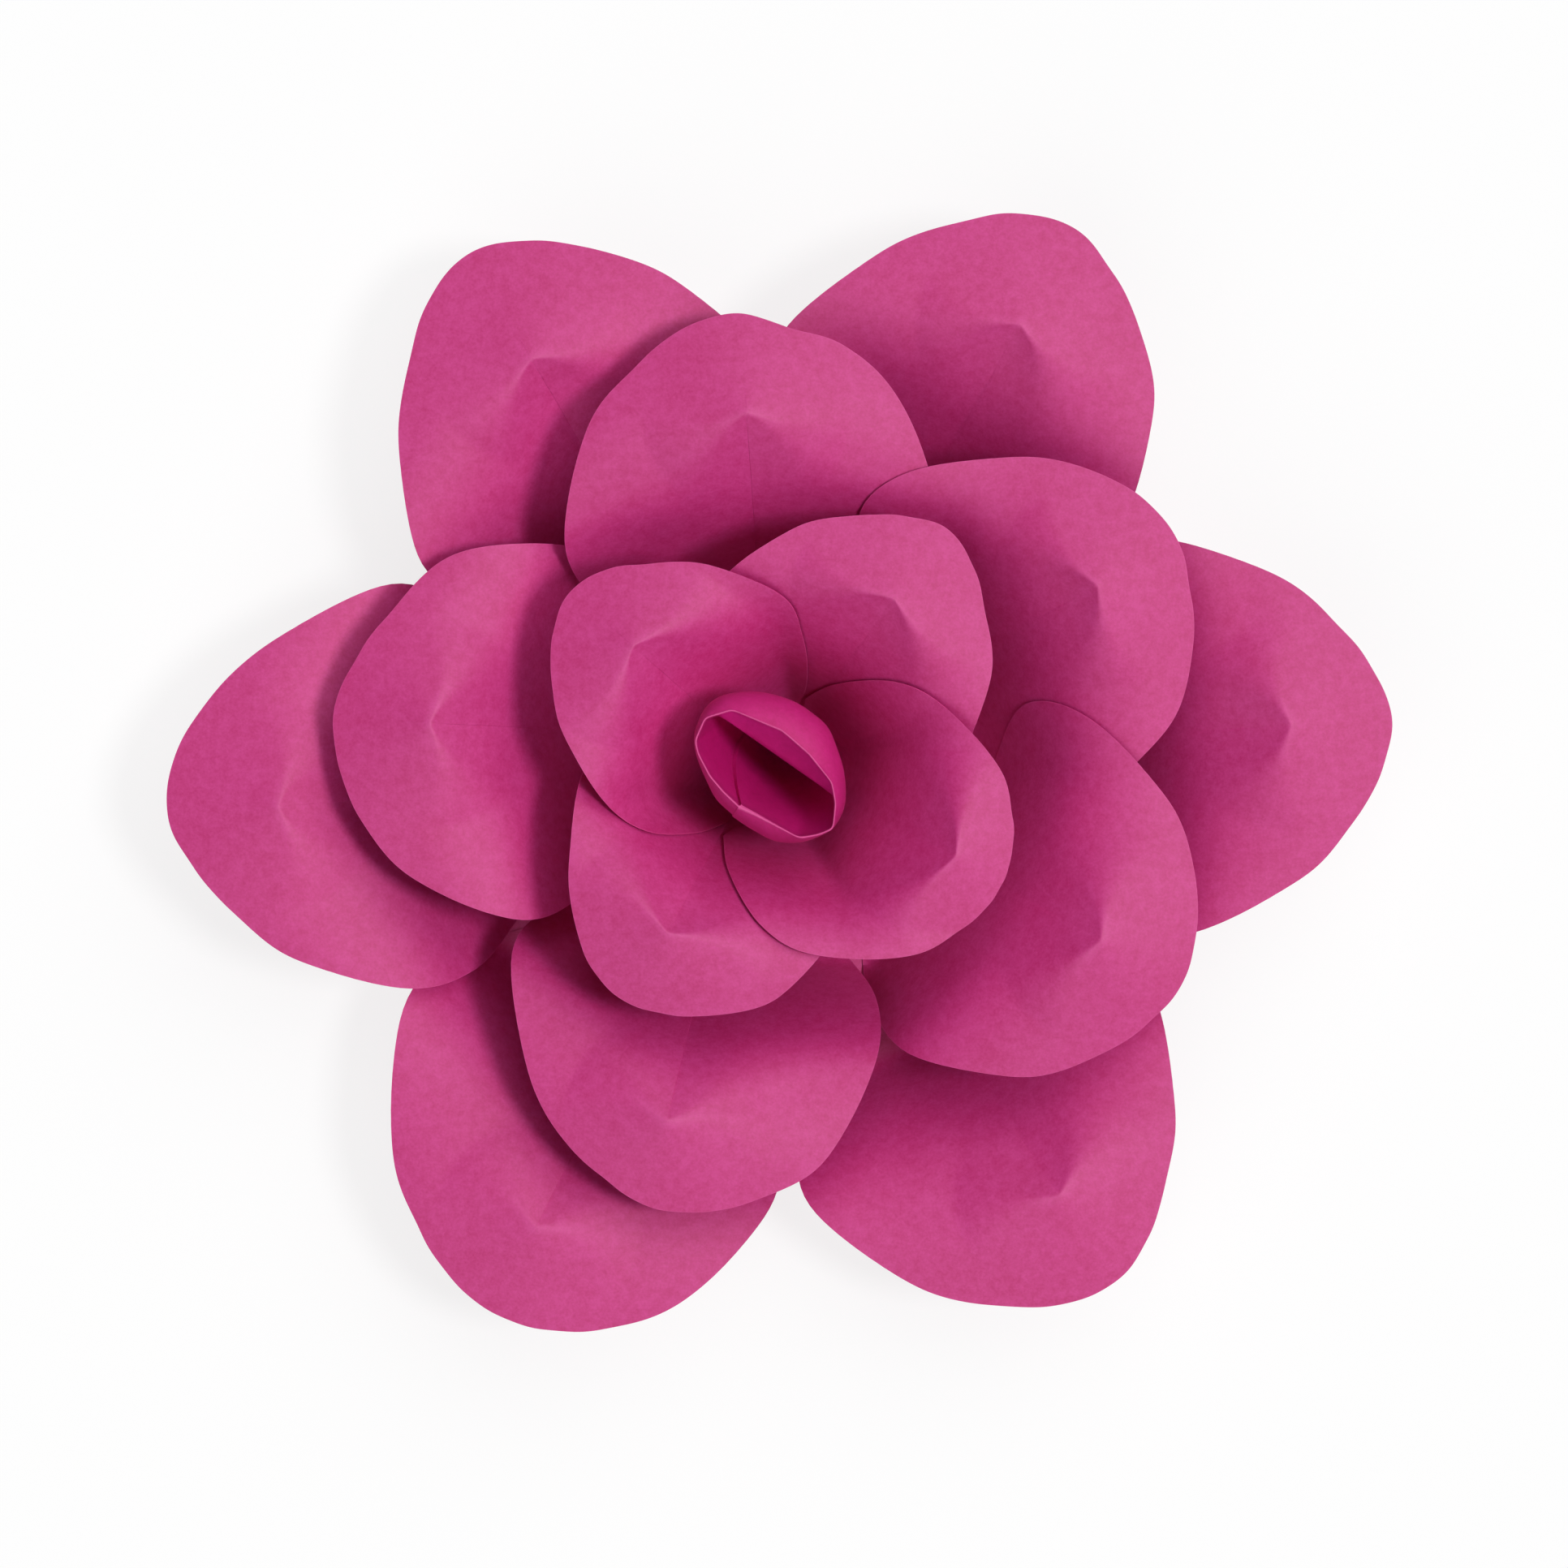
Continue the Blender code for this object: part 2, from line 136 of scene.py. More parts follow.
def card_finish(name, deep, light, highlight_colour=None, gloss=0.95):
    """Dyed card with a felt-like face: fibres show as fine flecks, and creases near the peak and the edges
    are painted paler as a painted highlight.
    """
    material = bpy.data.materials.new(name)
    finish = Finish(material)
    place = finish.node("ShaderNodeTexCoord", output=3)
    felt, blotch, cloud = [
        finish.node(
            "ShaderNodeTexNoise", {"noise_dimensions": "3D"},
            {"Vector": place, "Scale": scale, "Detail": 3, "Roughness": roughness},
        )
        for scale, roughness in (FELT_NOISE, BLOTCH_NOISE, CLOUD_NOISE)
    ]
    mottle = felt * 0.4 + blotch * 0.4 + cloud * 0.2
    colour = finish.mix((mottle - MOTTLE_START) * MOTTLE_CONTRAST, deep, light)
    if highlight_colour:
        fall, reach, border = [
            finish.node("ShaderNodeAttribute", {"attribute_name": attribute}, output=2)
            for attribute in ("fall", "reach", "border")
        ]
        # Painted highlight: paler along the creases near the peak and within half a millimetre of the card's
        # edges.
        crease = finish.ramp(fall, -4, 0) * finish.ramp(fall, 1, -0.5) * finish.ramp(reach, HIGHLIGHT_REACH, 2)
        colour = finish.mix(crease * CREASE_HIGHLIGHT + finish.ramp(border, 0.5, 0) * EDGE_HIGHLIGHT, colour, highlight_colour)
    fibre = finish.node(
        "ShaderNodeBump", None, {"Strength": 0.3, "Distance": FIBRE_DEPTH, "Height": felt + blotch}
    )
    shader = finish.node(
        "ShaderNodeBsdfPrincipled", None,
        {
            "Base Color": colour,
            "Roughness": ROUGHNESS + 0.1 * felt,
            "Specular IOR Level": gloss,
            "Normal": fibre,
        },
    )
    finish.node("ShaderNodeOutputMaterial", None, {"Surface": shader})
    return material


# The third colour is the painted highlight on the petals' creases and edges.
petal_card = card_finish("petal card", (0.515, 0, 0.15), (0.615, 0.028, 0.24), (0.76, 0.10, 0.38))
board_card = card_finish("board card", (0.515, 0, 0.15), (0.615, 0.028, 0.24))
# The cut edges and the bud's turned rim are painted paler than the card, a painted highlight.
edge_highlight_card = card_finish("cut edge of the card, painted highlight", (0.62, 0.020, 0.22), (0.72, 0.05, 0.28))

deselect()
bpy.ops.mesh.primitive_cylinder_add(
    vertices=BOARD_SIDES, radius=BOARD_RADIUS, depth=BOARD, end_fill_type="NGON", location=(0, 0, BOARD / 2)
)
board = bpy.context.object
board.name = "backing_board"
bpy.ops.object.transform_apply(location=True, rotation=True, scale=True)
bpy.ops.object.mode_set(mode="EDIT")
bpy.ops.mesh.select_mode(type="EDGE")
bpy.ops.mesh.select_all(action="SELECT")
bpy.ops.mesh.edges_select_sharp(sharpness=math.radians(60))
bpy.ops.mesh.bevel(offset=BOARD_BEVEL, segments=2, affect="EDGES")
bpy.ops.object.mode_set(mode="OBJECT")
bpy.ops.object.shade_smooth_by_angle(angle=math.radians(20))
board.data.materials.append(board_card)
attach(board, "root")
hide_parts("base_board")


# The outer petals: six flat cards, each slit up from its foot. The flaps beside the slit overlap and are
# glued, which lifts a low peak at the slit's end, with a valley down to the foot and a crease on each side.
# The feet are glued near the rim of the board, and each petal laps over the one before it, clockwise.

CARD = 0.4 * MM
GLUE_GAP = 0.3 * MM
FOOT_FACE = BOARD + GLUE_GAP + CARD
FOOT_BEND = 6 * MM
FOOT_SPACING = 4 * MM
LAP = 2.4 * MM
LAP_BEND = 7 * MM
CREASE_WIDTH = 5 * MM
CREASE_REACH = 21 * MM
WIDEST_CREASE = 20 * MM
SEAM_SHARE = 0.65
SEAM_START = 8 * MM
SEAM_SLOPE = 0.25
PEAK_ROUNDING = 2 * MM
SEAM_ROUNDING = 7 * MM
FLAP_STEP = 0.3 * MM
FLAP_WIDTH = 14 * MM
ROWS = 44
ROW_GROWTH = 1.15
SPOKES = 180
SPOKE_PULL = 0.85
SPOKE_PULL_ANGLE = 4
OUTLINE_STEPS = 8
CUT_WAVER = 0.15 * MM
CUT_WAVES = (9, 14)
WAVE_HEIGHT = 0.35 * MM
WAVE_LENGTH = 15 * MM
TINY = 1e-9

# Sizes are in millimetres, angles in degrees from a petal's tip, and slopes are heights per length. A petal's
# peak_share and outline are percents of the ring's peak circle and card size. Its depth multiplies the slope
# of its valley, and its seam says how clearly the glued slit shows, from 0 to 1.
SIZES = "peak_circle peak_height card_size valley_run"
SLOPES = "valley_slope crease_angle side_slope tip_slope twist"
Ring = namedtuple("Ring", f"{SIZES} {SLOPES} angles")
Petal = namedtuple("Petal", "heading peak_share lean rise depth seam outline")
WIDE_ANGLES = (-150, -135, -120, -90, -60, -30, 0, 30, 60, 90, 120, 135, 150)

OUTER_RING = Ring(200, 68, 100, 75, 0.56, 60, 0.05, 0.24, 0.02, WIDE_ANGLES)
OUTER_PETALS = [
    Petal(120.4, 95.5, 0, 3, 1.3, 1, (100, 98, 93, 63, 50, 49, 51, 49, 52, 66, 94, 100, 100)),
    Petal(60.6, 102.5, 0, 3, 1.2, 0.3, (108, 102, 95, 63, 49, 46, 46, 44, 48.5, 63, 87, 98, 106)),
    Petal(4.6, 105.5, 0, 0, 1, 0.2, (110, 103, 92, 61, 45.5, 41, 42, 42, 47, 62.5, 94, 104, 110)),
    Petal(-56.1, 104.5, 0, -4, 1, 0.3, (110, 103, 90, 57.5, 43.5, 41, 43, 45, 51, 68.5, 100, 108, 112)),
    Petal(-117.1, 104.5, 0, -3, 0.8, 1, (108, 104, 94, 67.5, 50.5, 42.5, 40, 41, 47.5, 66, 102, 116, 120)),
    Petal(-175.4, 100, 0, 0, 0.92, 0.5, (106, 103, 90, 61.5, 46.5, 43, 46, 47.5, 52, 66, 100, 108, 106)),
]
OUTER_FOOT = 96 * MM


def card_blank():
    """A flat disc of card around the peak, in spokes and rows, which every petal is folded from."""
    deselect()
    bpy.ops.mesh.primitive_circle_add(
        vertices=SPOKES, radius=1 / ROWS, fill_type="TRIFAN", location=(0, 0, 0)
    )
    blank = bpy.context.object
    bpy.ops.object.mode_set(mode="EDIT")
    bpy.ops.mesh.select_mode(type="EDGE")
    bpy.ops.mesh.select_all(action="DESELECT")
    bpy.ops.mesh.select_non_manifold()
    for row in range(2, ROWS + 1):
        bpy.ops.mesh.extrude_edges_move()
        bpy.ops.transform.resize(value=(row / (row - 1), row / (row - 1), 1), center_override=(0, 0, 0))
    bpy.ops.object.mode_set(mode="OBJECT")
    return blank


def smooth_max(a, b, width):
    """The larger of two heights, with the corner between them rounded over the given height."""
    near = np.clip(1 - np.abs(a - b) / width, 0, 1)
    return np.maximum(a, b) + near * near * width / 4


def outward_of(petal):
    heading = math.radians(petal.heading)
    return np.array([math.cos(heading), math.sin(heading)])


def clockwise_of(outward):
    return np.array([outward[1], -outward[0]])


def peak_radius(ring, petal):
    return ring.peak_circle * petal.peak_share / 100 * MM


def fold_place(ring, petal, x, y):
    """Places along the petal's fold, outwards from the peak, and across it, clockwise."""
    peak = peak_radius(ring, petal) * outward_of(petal)
    lean = math.radians(petal.lean)
    fold = math.cos(lean) * outward_of(petal) + math.sin(lean) * clockwise_of(outward_of(petal))
    sideways = clockwise_of(fold)
    along = (x - peak[0]) * fold[0] + (y - peak[1]) * fold[1]
    across = (x - peak[0]) * sideways[0] + (y - peak[1]) * sideways[1]
    return along, across


def folded_faces(ring, petal, x, y):
    """Heights of a petal's collar and of its valley, which meet at its creases, below its peak."""
    along, across = fold_place(ring, petal, x, y)
    reach = np.hypot(across, along) + TINY
    top = (ring.peak_height + petal.rise) * MM
    side, tip, run = ring.side_slope, ring.tip_slope, ring.valley_run * MM
    slope = ring.valley_slope * petal.depth

    collar = -(side + (tip - side) * (0.5 + 0.5 * along / reach)) * reach

    inward = np.maximum(-along, 0)
    crease_angle = math.radians(ring.crease_angle)
    crease_cos, crease_sin = math.cos(crease_angle), math.sin(crease_angle)
    crease_slope = side + (tip - side) * (0.5 - 0.5 * crease_cos)
    steepening = (top - FOOT_FACE - slope * run) / run**3
    flank_slope = ((slope + steepening * inward**2) * crease_cos - crease_slope) / crease_sin
    formed = np.clip(inward / SEAM_START, 0, 1)
    rounding = PEAK_ROUNDING + (SEAM_ROUNDING - PEAK_ROUNDING) * formed
    sharp = SEAM_SHARE * petal.seam * formed
    spread = sharp * np.abs(across) + (1 - sharp) * (np.hypot(across, rounding) - rounding)
    inside = np.clip(1 - np.abs(across) * crease_cos / (inward * crease_sin + TINY), 0, 1)
    sharper = petal.seam * np.maximum(SEAM_SLOPE - flank_slope, 0) * inside
    valley = slope * along - steepening * inward**3 + (flank_slope + sharper) * spread
    return collar, valley


def free_height(ring, petal, x, y):
    """Height of a petal's upper face as its own creases shape it."""
    along, across = fold_place(ring, petal, x, y)
    collar, valley = folded_faces(ring, petal, x, y)
    crease_width = np.minimum(CREASE_WIDTH * (np.hypot(across, along) / CREASE_REACH) ** 2, WIDEST_CREASE)
    folded = -smooth_max(-collar, -valley, crease_width + CARD)
    waves = np.sin(x / WAVE_LENGTH + petal.heading) * np.sin(y / WAVE_LENGTH + 2 * petal.heading)
    top = (ring.peak_height + petal.rise) * MM
    return top + folded - ring.twist * across + WAVE_HEIGHT * waves


def flap_height(ring, petal, x, y):
    """The upper flap's cut edge stands a card above the lower flap, along the seam down the valley."""
    along, across = fold_place(ring, petal, x, y)
    reach = np.hypot(across, along)
    from_seam = np.arctan2(across, -along) * reach
    flap = np.where(from_seam > 0, np.exp(-from_seam / FLAP_WIDTH), 0)
    return FLAP_STEP * petal.seam * flap * np.clip(reach / SEAM_START, 0, 1)


def lapped_height(ring, petal, before, x, y):
    """A petal laps over the one before it, clockwise, and its foot is glued flat."""
    own = free_height(ring, petal, x, y) + flap_height(ring, petal, x, y)
    below = free_height(ring, before, x, y) + LAP
    return smooth_max(smooth_max(own, below, LAP_BEND), FOOT_FACE, FOOT_BEND)


def smooth_line(points):
    """A Catmull-Rom curve through all the points."""
    points = np.array(points, dtype=float)
    ends = np.vstack([2 * points[0] - points[1], points, 2 * points[-1] - points[-2]])
    line = []
    for i in range(len(points) - 1):
        a, b, c, d = ends[i : i + 4]
        bend = 2 * a - 5 * b + 4 * c - d
        turn = 3 * b - a - 3 * c + d
        for t in np.arange(OUTLINE_STEPS) / OUTLINE_STEPS:
            line.append(b + 0.5 * ((c - a) * t + bend * t**2 + turn * t**3))
    line.append(points[-1])
    return np.array(line)


def straight_line(start, end):
    return np.linspace(start, end, OUTLINE_STEPS, endpoint=False)


def foot_corner(ring, petal, foot, spacing, side):
    """Corner of a foot on one side, kept clear of the foot beside it."""
    half_width = foot * math.tan(spacing / 2) - FOOT_SPACING / 2 / math.cos(spacing / 2)
    return (side * half_width, foot - peak_radius(ring, petal))


def edge_radius(ring, petal, corners, angle):
    """Distance from the peak to the card's edge, at an angle from the tip."""
    outline = []
    for turn, share in zip(np.radians(ring.angles), petal.outline):
        length = share / 100 * ring.card_size * MM
        outline.append((length * math.sin(turn), length * math.cos(turn)))
    left, right = corners
    middle = (0, left[1])
    curved = smooth_line(outline)
    edge = np.vstack([
        straight_line(middle, left), straight_line(left, curved[0]), curved,
        straight_line(curved[-1], right), straight_line(right, middle),
    ])
    turns = np.arctan2(edge[:, 0], edge[:, 1])
    order = np.argsort(turns)
    radius = np.interp(angle, turns[order], np.hypot(edge[:, 0], edge[:, 1])[order], period=2 * math.pi)
    hand = np.sin(CUT_WAVES[0] * angle + petal.heading) + np.sin(CUT_WAVES[1] * angle + 2 * petal.heading)
    return radius - CUT_WAVER * (1 + hand / 2)


def spread_spokes(turn):
    """Turns the blank's spokes so that none lies on the seam and the two beside it lie close to it."""
    past_seam = np.degrees(np.mod(turn, 2 * math.pi)) - 180 + 180 / SPOKES
    pull = SPOKE_PULL * np.sign(past_seam) * np.exp((1 - np.abs(past_seam)) / SPOKE_PULL_ANGLE)
    return math.pi + np.radians(past_seam - pull)


def mark(piece, name, values):
    """Stores a number at every point of a piece for its material, in millimetres."""
    numbers = piece.data.attributes.new(name, "FLOAT", "POINT")
    numbers.data.foreach_set("value", np.array(values, dtype=np.float32))


def fold_petal(name, ring, petal, corners, height):
    """Copies the blank, trims it to the petal's outline, lifts it to its folded height and makes it card."""
    piece = blank.copy()
    piece.data = blank.data.copy()
    piece.name = name
    bpy.context.scene.collection.objects.link(piece)
    places = np.empty(3 * len(piece.data.vertices))
    piece.data.vertices.foreach_get("co", places)
    places = places.reshape(-1, 3)
    share = np.hypot(places[:, 0], places[:, 1]) ** ROW_GROWTH
    turn = spread_spokes(np.arctan2(places[:, 0], places[:, 1])) + math.radians(petal.lean)
    outward = outward_of(petal)
    clockwise = clockwise_of(outward)
    reach = share * edge_radius(ring, petal, corners, np.mod(turn + math.pi, 2 * math.pi) - math.pi)
    flat = np.outer(reach * np.sin(turn), clockwise) + np.outer(reach * np.cos(turn), outward)
    x, y = (flat + peak_radius(ring, petal) * outward).T
    piece.data.vertices.foreach_set("co", np.stack([x, y, height(x, y)], axis=1).ravel())
    collar, valley = folded_faces(ring, petal, x, y)
    mark(piece, "fall", (collar - valley) / MM)
    mark(piece, "reach", reach / MM)
    mark(piece, "border", (1 - share) * reach / np.maximum(share, TINY) / MM)
    piece.data.materials.append(petal_card)
    # The card's cut edges, which the solidify rim makes, take the painted highlight.
    piece.data.materials.append(edge_highlight_card)
    deselect()
    piece.select_set(True)
    bpy.context.view_layer.objects.active = piece
    bpy.ops.object.mode_set(mode="EDIT")
    bpy.ops.mesh.select_all(action="SELECT")
    bpy.ops.mesh.normals_make_consistent(inside=False)
    bpy.ops.object.mode_set(mode="OBJECT")
    if piece.data.polygons[0].normal.z < 0:
        piece.data.flip_normals()
    sheet = piece.modifiers.new("card", "SOLIDIFY")
    sheet.thickness = CARD
    sheet.offset = -1
    sheet.material_offset_rim = 1
    bpy.ops.object.modifier_apply(modifier=sheet.name)
    bpy.ops.object.shade_smooth_by_angle(angle=math.radians(30))
    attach(piece, "root")


def fold_ring(ring, petals, foot, name):
    """A ring of petals like the blades of a pinwheel, each lapping over the one before it."""
    for i, petal in enumerate(petals):
        before, after = petals[i - 1], petals[(i + 1) % len(petals)]
        spacing_before = math.radians((before.heading - petal.heading) % 360)
        spacing_after = math.radians((petal.heading - after.heading) % 360)
        corners = (
            foot_corner(ring, petal, foot, spacing_before, -1),
            foot_corner(ring, petal, foot, spacing_after, 1),
        )
        piece = f"{name}_card_{i + 1}"
        fold_petal(piece, ring, petal, corners, lambda x, y: lapped_height(ring, petal, before, x, y))
        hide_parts(f"{name}_petal_{i + 1}")


blank = card_blank()
fold_ring(OUTER_RING, OUTER_PETALS, OUTER_FOOT, "outer")


# The middle petals: five cards slit, folded and glued the same way inside the outer ring, a little higher.

MIDDLE_RING = Ring(150, 88, 100, 68, 0.65, 64, 0.14, 0.32, 0.03, WIDE_ANGLES)
MIDDLE_PETALS = [
    Petal(93.9, 94.7, 0, 8, 1, 1, (94, 96, 89, 64, 48, 43, 41, 39, 49, 63, 86, 92, 80)),
    Petal(29.0, 100, 0, 0, 1.25, 0.2, (82, 100, 89, 60, 46, 40, 38, 38, 46, 63, 86, 92, 80)),
    Petal(-27.7, 100, 0, -4, 1, 0.2, (80, 100, 89, 62, 46, 39, 38, 39, 46, 63, 89, 96, 96)),
    Petal(-106.4, 98.7, -3, 0, 0.9, 1, (98, 97, 86, 65, 47, 39, 36, 35, 42, 58, 92, 98, 96)),
    Petal(172.7, 92, -5, 0, 1.15, 1, (88, 92, 86, 63, 48, 41, 40, 40, 47, 69, 91, 94, 86)),
]
MIDDLE_FOOT = 34 * MM
fold_ring(MIDDLE_RING, MIDDLE_PETALS, MIDDLE_FOOT, "middle")


# The inner petals: four smaller, rounder cards around the bud. The second and fourth are glued first, and the
# first and third lap over both of them.

LOBED_ANGLES = (-160,) + WIDE_ANGLES + (160,)
INNER_RING = Ring(80, 104, 100, 58, 0.85, 64, 0.02, 0.33, 0.03, LOBED_ANGLES)
INNER_PETALS = [
    Petal(138.8, 91.3, 0, 0, 0.93, 1, (80, 79, 74, 63, 44, 35, 33, 34, 33, 34, 44, 63, 68, 71, 70)),
    Petal(53.7, 103.8, 0, 0, 1, 0.3, (58, 70, 74, 70, 49, 37, 34, 36, 35, 37, 49, 68, 73, 70, 58)),
    Petal(-25.8, 102.5, 0, 0, 1, 0.3, (88, 84, 74, 60, 40, 28, 23, 22, 24, 30, 45, 70, 83, 91, 94)),
    Petal(-121.8, 97.5, -4, 0, 1, 1, (58, 68, 70, 66, 51, 38, 33, 33, 34, 37, 47, 73, 76, 70, 58)),
]
INNER_LAP = 3 * MM
INNER_LAP_BEND = 9 * MM
INNER_FOOT = 16 * MM
INNER_FOOT_HALF_WIDTH = 13 * MM


def inner_height(index, x, y):
    petal = INNER_PETALS[index]
    own = free_height(INNER_RING, petal, x, y) + flap_height(INNER_RING, petal, x, y)
    if index % 2:
        return smooth_max(own, FOOT_FACE, FOOT_BEND)
    for lower in (1, 3):
        own = smooth_max(own, inner_height(lower, x, y) + INNER_LAP, INNER_LAP_BEND)
    return own


for i, petal in enumerate(INNER_PETALS):
    along = INNER_FOOT - peak_radius(INNER_RING, petal)
    corners = ((-INNER_FOOT_HALF_WIDTH, along), (INNER_FOOT_HALF_WIDTH, along))
    piece = f"inner_card_{i + 1}"
    fold_petal(piece, INNER_RING, petal, corners, lambda x, y: inner_height(i, x, y))
    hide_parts(f"inner_petal_{i + 1}")
bpy.data.objects.remove(blank)


# The bud: one strip of card rolled into a cup and glued along its end, which shows as a flap inside the
# mouth. The mouth is pinched into a fold like a boat's keel, its edge is turned over, and the narrow foot is
# glued to the middle of the board.

bud_card = card_finish("bud card", (0.52, 0, 0.145), (0.61, 0.006, 0.20), gloss=0.6)
# The inside of the bud is painted a little darker and less glossy than its outside, as painted shade in the
# pocket.
bud_painted_shade_lining = card_finish("bud card inside, painted shade", (0.50, 0, 0.15), (0.58, 0.003, 0.19), gloss=0.4)

BUD_TURN = math.radians(-35)
BUD_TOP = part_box("bud")[1][2]
BUD_POINTS = 192
BUD_BASE_RADIUS = 12 * MM
BUD_WAIST_RADIUS = 18 * MM
BUD_WAIST_HEIGHT = 40 * MM
BUD_BELLY_DEPTH = 17 * MM
BUD_SHOULDER = math.radians(66)
BUD_POCKET_DEPTH = 67 * MM
BUD_KEEL_HALF_LENGTH = 34 * MM
BUD_FOLD_OFFSET = 5 * MM
BUD_FOLD_SHARE = 0.84
BUD_FOLD_GAP = 0.2 * MM
BUD_FLAP_ANGLE = math.radians(-94)
BUD_FLAP_SWEEP = math.radians(-50)
BUD_FLAP_STEP = 0.6 * MM
BUD_FLAP_FADE = 0.15
BUD_FLAP_OUTSIDE = 0.5
BUD_FLAP_AT_RIM = 0.6
BUD_FLAP_INSIDE = 0.8
BUD_FLAP_TUCK = math.radians(3)
BUD_SWEEP_EASE = 2.8
BUD_RIM_WIDTH = 0.9 * MM
BUD_RIM_HEIGHT = 0.5 * MM
BUD_CLOSING = 1.8
BUD_TURN_SHARE = 0.3
BUD_TURN_DEPTH = 11 * MM
BUD_UNDERCUT = 2.5 * MM
POINT_PULL = 0.95
MOUTH_ROUNDS = 2
BELLY_ROUNDS = 24
BUD_MIDDLE = (0, -2)
# Corners of the mouth and points of the belly below it, along and across its long side, in millimetres
BUD_MOUTH = [
    (-33, 1), (-26, 10), (-5, 14.8), (-1, 14.6), (10, 13.3), (24, 9), (30, 3), (35, -6), (31.5, -11.5),
    (26, -17), (6.5, -19.5), (-1.4, -20.8), (-10, -19.5), (-18, -17.3), (-27, -12.6), (-31, -9),
]
BUD_BELLY = [
    (-36, 4), (-34, 11.5), (-25, 20), (-16.5, 24.5), (-6, 27.5), (9.5, 27), (24.5, 16.5), (33.5, 5.5),
    (35.8, -5.6), (28.5, -17.6), (18.5, -24), (3.5, -25), (-10.5, -23.7), (-25, -15.3), (-32.5, -9),
]


def outline_at(corners, angle):
    """Points of a closed outline where it is met by rays from the bud's middle."""
    points = (np.array(corners) - BUD_MIDDLE) * MM
    points = np.vstack([points, points[:1]])
    steps = np.linspace(0, 1, 12, endpoint=False)[:, None]
    line = np.vstack([start + (end - start) * steps for start, end in zip(points, points[1:])])
    turns = np.arctan2(line[:, 1], line[:, 0])
    order = np.argsort(turns)
    radius = np.interp(angle, turns[order], np.hypot(line[:, 0], line[:, 1])[order], period=2 * math.pi)
    return np.stack([radius * np.cos(angle), radius * np.sin(angle)], axis=1)


def soften(ring, rounds):
    """Rounds the corners of a closed ring of points."""
    for _ in range(rounds):
        ring = ring / 2 + (np.roll(ring, 1, axis=0) + np.roll(ring, -1, axis=0)) / 4
    return ring


def spread_out(ring, distance):
    """Moves a ring's points away from the bud's middle."""
    outwards = ring / np.hypot(ring[:, 0], ring[:, 1])[:, None]
    return ring + outwards * np.broadcast_to(distance, len(ring))[:, None]


# The bud's rings of points, in order up the outside, over the rim and down into the mouth
levels = []


def add_level(ring, height):
    levels.append(np.column_stack([ring, np.broadcast_to(height, len(ring))]))


# The points stand close together on both sides of the flap's end, so that its cut edge is sharp.
bud_step = 2 * math.pi / BUD_POINTS
past_flap = (np.arange(BUD_POINTS) + 0.5) * bud_step - math.pi
pull = POINT_PULL * bud_step / 2 * np.exp((bud_step / 2 - np.abs(past_flap)) / (2 * bud_step))
past_flap = past_flap - np.sign(past_flap) * pull
bud_angles = BUD_FLAP_ANGLE + past_flap
near_flap = np.cos(np.clip(past_flap, -math.pi / 2, math.pi / 2)) ** 2
flap = np.where(past_flap > 0, BUD_FLAP_STEP * (np.exp(-past_flap / BUD_FLAP_FADE) + near_flap), 0)

mouth = soften(outline_at(BUD_MOUTH, bud_angles), MOUTH_ROUNDS)
belly = soften(outline_at(BUD_BELLY, bud_angles), BELLY_ROUNDS)
belly = belly * np.maximum(1, np.hypot(*mouth.T) / np.hypot(*belly.T))[:, None]
circle = np.stack([np.cos(bud_angles), np.sin(bud_angles)], axis=1)
centre = -np.array(BUD_MIDDLE) * MM

for share in np.linspace(0, 1, 4)[:-1]:
    radius = BUD_BASE_RADIUS + (BUD_WAIST_RADIUS - BUD_BASE_RADIUS) * share
    height = BOARD + GLUE_GAP + (BUD_WAIST_HEIGHT - BOARD - GLUE_GAP) * share
    add_level(spread_out(circle * radius + centre, flap * BUD_FLAP_OUTSIDE), height)
belly_height = BUD_TOP - BUD_BELLY_DEPTH
for turn in np.linspace(math.pi / 2, 0, 8):
    ring = belly + (circle * BUD_WAIST_RADIUS + centre - belly) * (1 - math.cos(turn))
    rise = (belly_height - BUD_WAIST_HEIGHT) * (1 - math.sin(turn))
    add_level(spread_out(ring, flap * BUD_FLAP_OUTSIDE), BUD_WAIST_HEIGHT + rise)
for turn in np.linspace(0, BUD_SHOULDER, 12)[1:]:
    share = (math.cos(turn) - math.cos(BUD_SHOULDER)) / (1 - math.cos(BUD_SHOULDER))
    rise = (BUD_BELLY_DEPTH - BUD_RIM_HEIGHT) * math.sin(turn) / math.sin(BUD_SHOULDER)
    add_level(spread_out(mouth + (belly - mouth) * share, flap * BUD_FLAP_OUTSIDE), belly_height + rise)
rim_first = len(levels) - 1
for share, height in ((0.25, 0), (0.7, 0), (1, BUD_RIM_HEIGHT)):
    turned = BUD_FLAP_OUTSIDE * (1 - share) - BUD_FLAP_AT_RIM * share
    add_level(spread_out(mouth, flap * turned - BUD_RIM_WIDTH * share), BUD_TOP - height)
rim_last = len(levels) - 1
